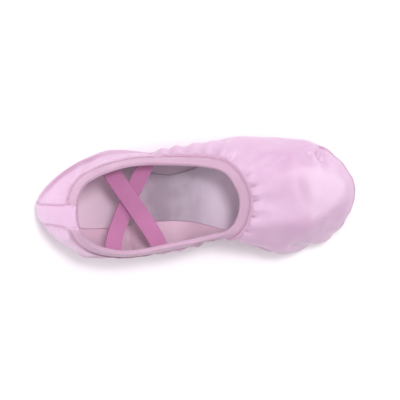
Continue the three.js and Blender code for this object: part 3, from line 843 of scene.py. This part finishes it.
def build_binding():
    """The tape from one side of the strip round the throat to the other."""
    half = STRIP_WIDTH / 2 - 0.25
    depth, out, inner = fold_profile(BINDING, BINDING, 16, 11)
    first = beside_centre_back(STRIP_MIDDLE + half, depth)
    last = 1 + beside_centre_back(STRIP_MIDDLE - half, depth)
    share = np.linspace(0, 1, 620)
    s = first + (last - first) * share[:, None]
    d = np.broadcast_to(depth, s.shape)
    loft = np.where(inner, 0.5 * tape_loft(depth), tape_loft(depth))
    loft = np.where(depth < 0.6, tape_loft(0.6), loft)
    sign = np.where(inner, -1.0, 1.0)
    outline = out + sign * loft - np.where(inner, over_elastic(s, d), 0.0)
    # the open ends are pressed flat
    ends = smooth(np.minimum(share, 1 - share), 0.0, 0.006)[:, None]
    outline = outline - (1 - ends) * sign * 0.35
    folds = np.where(inner, 0.0, 1.0)
    skin, _ = on_wall(s, d, outline, folds)
    under, _ = on_wall(s, d, outline - sign * TAPE_THICK, folds)
    # painted shade along the tape's lower edge at the inner waist
    shaded = smooth(s, 0.77, 0.80) * (1 - smooth(s, 0.87, 0.92))
    painted_shade = np.where(inner, 0.0, 0.85 * shaded * smooth(d, 6.2, 6.7))
    return band("collar_tape", skin, under, TAPE, np.stack([s * TAPE_ROUND, d], -1), painted_shade)


binding = build_binding()
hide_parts("collar_binding")


def collar_stitches():
    """Zigzag stitches that hold the tape: on the outside all round, and a row of short ones inside."""
    margin = STRIP_WIDTH / 2 + 1.2
    seam = np.array([TAPE_SEAM])
    start, end = (float(beside_centre_back(STRIP_MIDDLE + mm, seam)[0]) for mm in (margin, -margin))
    share = np.linspace(start, 1 + end, 2400)
    points, _ = on_wall(share, TAPE_SEAM, ROLL + ROLL_AT)
    s = pick(share[:, None], even_places(points, 1.25))[:, 0]
    zig = TAPE_SEAM + 0.75 * (-1.0) ** np.arange(len(s))
    spots, ups = on_wall(s, zig, ROLL + ROLL_AT + tape_loft(zig))
    threads("collar_zigzag", spots[:-1], spots[1:], ups[:-1], 0.14, 0.08, DARK_THREAD)
    points, normals = on_wall(share, 6.3, ROLL_AT - ROLL - 0.05 - over_elastic(share, 6.3), 0.0)
    running_stitch("collar_inside_stitches", points, -normals, 2.2, 1.5, 0.16, 0.1, THREAD)


collar_stitches()


# -------------------- the strip over the centre back
STRIP_DOWN = 0.86 * TOTAL[0]  # how far down the outside it reaches
STRIP_SEAM = 0.86  # of the way from its middle to its edge
STRIP_OUT = 0.12  # how much fuller than the binding it lies


def flush(depth):
    """How far the strip's outer leg sinks towards the wall below the binding."""
    return -0.35 * smooth(depth, 6.0, 10.0)


def build_heel_strip():
    """Drawn down along its two seams, a little full between them, creased softly across the fold."""
    steps, turns = 60, 31
    depth, out, inner = fold_profile(STRIP_DOWN, STRIP_REACH, steps, turns)
    groove = bell(np.arange(len(depth)), steps + 0.62 * turns, 0.11 * turns)
    across = np.linspace(-1, 1, 33)
    lean = np.where(inner, 0.0, depth)
    s = np.stack([beside_centre_back(strip_middle(lean) + x * STRIP_WIDTH / 2, depth) for x in across])
    d = np.broadcast_to(depth, s.shape)
    x = across[:, None]
    side = np.abs(x)
    full = STRIP_OUT - 0.45 * bell(side, STRIP_SEAM, 0.07) - 0.25 * smooth(side, 0.94, 1.0)
    rumple = 0.10 * np.sin(d * 0.55 + 2.0 * x) * smooth(d, 3, 9) - 0.2 * bell(d, 1.2, 0.6)
    crease = 0.25 * bell(d, 3.4, 0.9) - 0.45 * bell(d, 1.6, 0.5)
    lump = full + np.where(inner, crease, rumple) - 0.5 * groove
    sign = np.where(inner, -1.0, 1.0)
    folds = np.where(inner, 0.0, 1.0)
    sunk = np.where(inner, 0.0, flush(d))
    skin, _ = on_wall(s, d, out + STRIP_OUT * sign + sign * lump + sunk, folds)
    under, _ = on_wall(s, d, out - sign * TAPE_THICK + 0.5 * sunk, folds)
    # painted shade in the groove of the fold and along the two drawn-down seams
    seam = 0.45 * bell(side, STRIP_SEAM + 0.02, 0.08) * smooth(depth, 4.0, 12.0)
    painted_shade = np.maximum(0.9 * groove, np.where(inner, 0.0, seam))
    uv = np.stack([s * TAPE_ROUND, d + 200.0], -1)
    return band("centre_back_strip", skin, under, SATIN, uv, painted_shade)


strip = build_heel_strip()
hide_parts("heel_strip")


def strip_stitches(name, way, inset, sunk):
    """A row down the strip's outer leg, at a share of the way from its middle to its edge."""
    level = np.linspace(0.8, STRIP_DOWN - 1.0, 300)
    share = beside_centre_back(strip_middle(level) + way * inset * STRIP_WIDTH / 2, level)
    points, normals = on_wall(share, level, ROLL + ROLL_AT + STRIP_OUT + flush(level) - sunk)
    running_stitch(name, points, normals, 2.0, 1.45, 0.13, 0.06, DARK_THREAD)


strip_stitches("strip_stitches_right_0", -1, STRIP_SEAM, 0.33)
strip_stitches("strip_stitches_right_1", -1, 0.70, 0.0)
strip_stitches("strip_stitches_left_0", 1, STRIP_SEAM, 0.33)


# -------------------- elastics
def elastic_path(outer, inner, sag):
    """Centre line, direction across the band and distance along it, from the outer wall to the inner one,
    with the ends tucked upwards."""
    down, into = BINDING + 1.9, -(WALL + 1.2 * ELASTIC_THICKNESS)

    def wall(share, level, out):
        return on_wall(share, level, out, 0.0)[0]

    lies = []
    for s in (outer, inner):
        pair = wall([s - 0.01, s + 0.01], down, into)
        lies.append(unit(pair[1] - pair[0]))
    hang = np.array([0, 0, -sag * 4 / 3])
    leads = [wall([s], down, into - lead)[0] + hang for s, lead in zip((outer, inner), ELASTIC_LEADS)]
    ends = [wall([s], down, into)[0] for s in (outer, inner)]
    free = bezier([ends[0], *leads, ends[1]], np.linspace(0, 1, 90)[:, None])
    level = np.linspace(5.0, down - 0.4, 12)
    tucks = [wall(s, level, -0.7 + (into + 0.7) * smooth(level, 5.0, 9.2)) for s in (outer, inner)]
    line = np.concatenate([tucks[0], free[1:-1], tucks[1][::-1]])
    for _ in range(12):
        line[1:-1] = (line[:-2] + 2 * line[1:-1] + line[2:]) / 4
    run = run_along(line)
    marks = np.linspace(0, run[-1], 110)
    line = np.stack([np.interp(marks, run, line[:, k]) for k in range(3)], -1)
    u = smooth(marks / marks[-1], 0.15, 0.85)[:, None]
    return line, lies[0] * (1 - u) - lies[1] * u, marks


def build_elastic(name, outer, inner, sag):
    """A ribbed band, thinner at its two edges and bowed across where it hangs free."""
    line, across, marks = elastic_path(outer, inner, sag)
    along = unit(np.gradient(line, axis=0))
    across = unit(across - along * (across * along).sum(1, keepdims=True))
    face = unit(np.cross(along, across))
    w = np.linspace(-1, 1, 61)
    rib = 0.09 * np.abs(np.sin(w * 5 * np.pi)) ** 0.7
    half = (0.5 * ELASTIC_THICKNESS - 0.10 + rib) * (1 - 0.55 * smooth(np.abs(w), 0.93, 1.0))
    t = (marks / marks[-1])[:, None]
    bow = 0.35 * (1 - w**2) * (smooth(t, 0.1, 0.25) * (1 - smooth(t, 0.75, 0.9)))
    width = w * ELASTIC_WIDTH / 2
    middle = line[:, None] + across[:, None] * width[None, :, None]
    skin, under = (middle + face[:, None] * height[..., None] for height in (half + bow, -half + bow))
    uv = np.stack(np.broadcast_arrays(width[None, :] + ELASTIC_WIDTH / 2, marks[:, None]), -1)
    elastic = band(name + "_band", skin, under, ELASTIC, uv)
    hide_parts(name)


for _elastic in ELASTICS:
    build_elastic(*_elastic)


# -------------------- insole and sole pads
def plate_edges(start, end, margin, count, rounding=9.0):
    """Edge points on the inner and outer side along a plate, with rounded ends where it stops short."""

    def edge(share):
        return blend_rows(share)[..., :2] + outward(share, 0) * margin

    share = np.linspace(start, end, count)
    rows = [(edge(-share), edge(share))]
    angle = np.linspace(0, np.pi / 2, 24)[1:]
    for at, way, rounded in ((start, -1, start > 0), (end, 1, end < 0.5)):
        if not rounded:
            continue
        sides = [edge(np.array([s]))[0] for s in (-at, at)]
        middle = (sides[0] + sides[1]) / 2
        reach = np.stack([way * rounding * np.sin(angle), 0 * angle], -1)
        cap = tuple((p - middle) * np.cos(angle)[:, None] + middle + reach for p in sides)
        rows = [(cap[0][::-1], cap[1][::-1])] + rows if way < 0 else rows + [cap]
    return [np.concatenate(side) for side in zip(*rows)]


def nearest(points, outline):
    """Distance in plan from each point to a closed outline."""
    flat = points.reshape(-1, 2)
    best = np.full(len(flat), 1e9)
    for a, b in zip(outline, np.roll(outline, -1, 0)):
        ab = b - a
        t = np.clip(((flat - a) @ ab) / max(ab @ ab, 1e-9), 0, 1)
        best = np.minimum(best, np.hypot(*(flat - a - t[:, None] * ab).T))
    return best.reshape(points.shape[:-1])


def build_plate(name, start, end, margin, low, high, radius, crown, look, slot, count=120, columns=41):
    """A plate that follows the underside between two heights over it, its edge rounded by a radius."""
    inner, outer = plate_edges(start, end, margin, count)
    w = np.linspace(-1, 1, columns)
    w = (np.sin(w * np.pi / 2) * 0.5 + w * 0.5 + 1) / 2
    plan = inner[:, None] * (1 - w[None, :, None]) + outer[:, None] * w[None, :, None]
    outline = np.concatenate([inner, outer[::-1]])
    gap = nearest(plan, outline[:: max(1, len(outline) // 160)])
    inset = np.clip(radius - gap, 0, radius)
    drop = radius - np.sqrt(np.maximum(radius**2 - inset**2, 0))
    base = underside(plan[..., 0])
    top = np.concatenate([plan, (base + high - drop + crown * smooth(gap, 0, 8))[..., None]], -1)
    bottom = np.concatenate([plan, (base + low + np.minimum(drop, high - low))[..., None]], -1)
    shell = two_faced(top, bottom)
    faces = tube(*shell.shape[:2]).tolist()
    return piece(name, shell.reshape(-1, 3), faces, [look.material], two_faced(plan, plan)), outline


PAD_SHAPE = (2.5, -GAP - PAD, -GAP, 0.7, 0.0, SUEDE, "suede")
insole, _ = build_plate(
    "cotton_insole", 0, 0.5, 1.7, WALL + GAP, WALL + GAP + SOCK, 0.6, 0.25, COTTON, "insole", 200, 61
)
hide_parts("insole")
heel_pad, heel_outline = build_plate("suede_heel_pad", 0, 0.185, *PAD_SHAPE)
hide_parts("sole_heel")
fore_pad, fore_outline = build_plate("suede_forefoot_pad", 0.315, 0.5, *PAD_SHAPE)
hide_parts("sole_forefoot")


def inset_path(outline, inset, lift):
    """The outline moved inwards, as points with their height on the underside."""
    ring = outline[np.linalg.norm(outline - np.roll(outline, 1, 0), axis=1) > 1e-3]
    step = np.roll(ring, -1, 0) - np.roll(ring, 1, 0)
    normal = unit(np.stack([step[:, 1], -step[:, 0]], -1))
    area = np.sum(ring[:, 0] * np.roll(ring[:, 1], -1) - np.roll(ring[:, 0], -1) * ring[:, 1])
    plan = ring - normal * inset * (1 if area > 0 else -1)
    return np.concatenate([plan, underside(plan[:, :1]) + lift], -1)


for _tag, _outline in (("heel", heel_outline), ("forefoot", fore_outline)):
    _path = inset_path(_outline, 2.2, -GAP - PAD) + [0, 0, 0.12]
    _down = np.tile([0.0, 0.0, -1.0], (len(_path), 1))
    running_stitch(f"pad_stitches_{_tag}", _path, _down, 2.6, 1.9, 0.17, 0.02, DARK_THREAD)


# -------------------- camera, light and floor
# The camera leans from straight above towards the heel and a little to the outer side, and is rolled.
BACK, ASIDE, TURN = (math.radians(v) for v in (20.0, 7.5, 2.5))
DISTANCE = 0.7
TARGET = (100.0, 0.0, 20.0)
toward = Vector((-math.sin(BACK) * math.cos(ASIDE), math.sin(ASIDE), math.cos(BACK) * math.cos(ASIDE)))
flat_right = (Vector((1, 0, 0)) - toward * toward.x).normalized()
flat_up = toward.cross(flat_right)
cam_right = flat_right * math.cos(TURN) - flat_up * math.sin(TURN)
cam_up = flat_right * math.sin(TURN) + flat_up * math.cos(TURN)
camera_data = bpy.data.cameras.new("camera")
camera_data.sensor_width = 36.0
camera_data.lens = 109.305
camera_data.shift_x = -0.005
camera_data.shift_y = 0.0025
camera_data.clip_start = 0.01
camera = bpy.data.objects.new("camera", camera_data)
bpy.context.collection.objects.link(camera)
target = Vector(((np.array(TARGET) - ORIGIN) / 1000.0).tolist())
rotation = Matrix((cam_right, cam_up, toward)).transposed().to_4x4()
camera.matrix_world = Matrix.Translation(target + toward * DISTANCE) @ rotation
bpy.context.scene.camera = camera

# Area lights in metres and watts: name, place, target, width, height, power.
LIGHTS = [
    ("overhead", (0.0, 0.05, 1.1), (0, 0, 0.02), 1.5, 1.5, 6.4),
    ("key", (-0.22, 0.36, 1.1), (0, 0, 0.02), 0.22, 0.22, 6.6),
    ("back", (-0.05, 0.95, 0.42), (0, 0, 0.02), 0.6, 0.2, 3.4),
    ("toe_side", (0.95, 0.2, 0.4), (0.03, 0, 0.02), 0.9, 0.4, 4.6),
    ("heel_side", (-0.95, -0.16, 0.46), (-0.05, 0, 0.02), 0.6, 0.3, 6.0),
]
for _name, _place, _target, _width, _height, _power in LIGHTS:
    light_data = bpy.data.lights.new(_name, "AREA")
    light_data.shape = "RECTANGLE"
    light_data.size, light_data.size_y = _width, _height
    light_data.energy = _power
    light = bpy.data.objects.new(_name, light_data)
    light.location = _place
    light.rotation_euler = (Vector(_target) - Vector(_place)).to_track_quat("-Z", "Y").to_euler()
    bpy.context.collection.objects.link(light)

world = bpy.data.worlds.new("studio")
world.use_nodes = True
background = world.node_tree.nodes["Background"]
background.inputs["Color"].default_value = (1.0, 1.0, 1.0, 1)
background.inputs["Strength"].default_value = 0.30
bpy.context.scene.world = world
bpy.context.scene.view_settings.view_transform = "Standard"

floor_mesh = bpy.data.meshes.new("floor")
floor_mesh.from_pydata([(-3, -3, 0), (3, -3, 0), (3, 3, 0), (-3, 3, 0)], [], [(0, 1, 2, 3)])
floor = bpy.data.objects.new("floor", floor_mesh)
bpy.context.collection.objects.link(floor)
paper = Look("paper", 0.8)
_cloud = paper.noise(paper.coordinates(), 3.0)
paper.colours(_cloud, (0.0, 232.39, 226.59, 231.11), (1.0, 236.15, 230.48, 234.9))
floor_mesh.materials.append(paper.material)
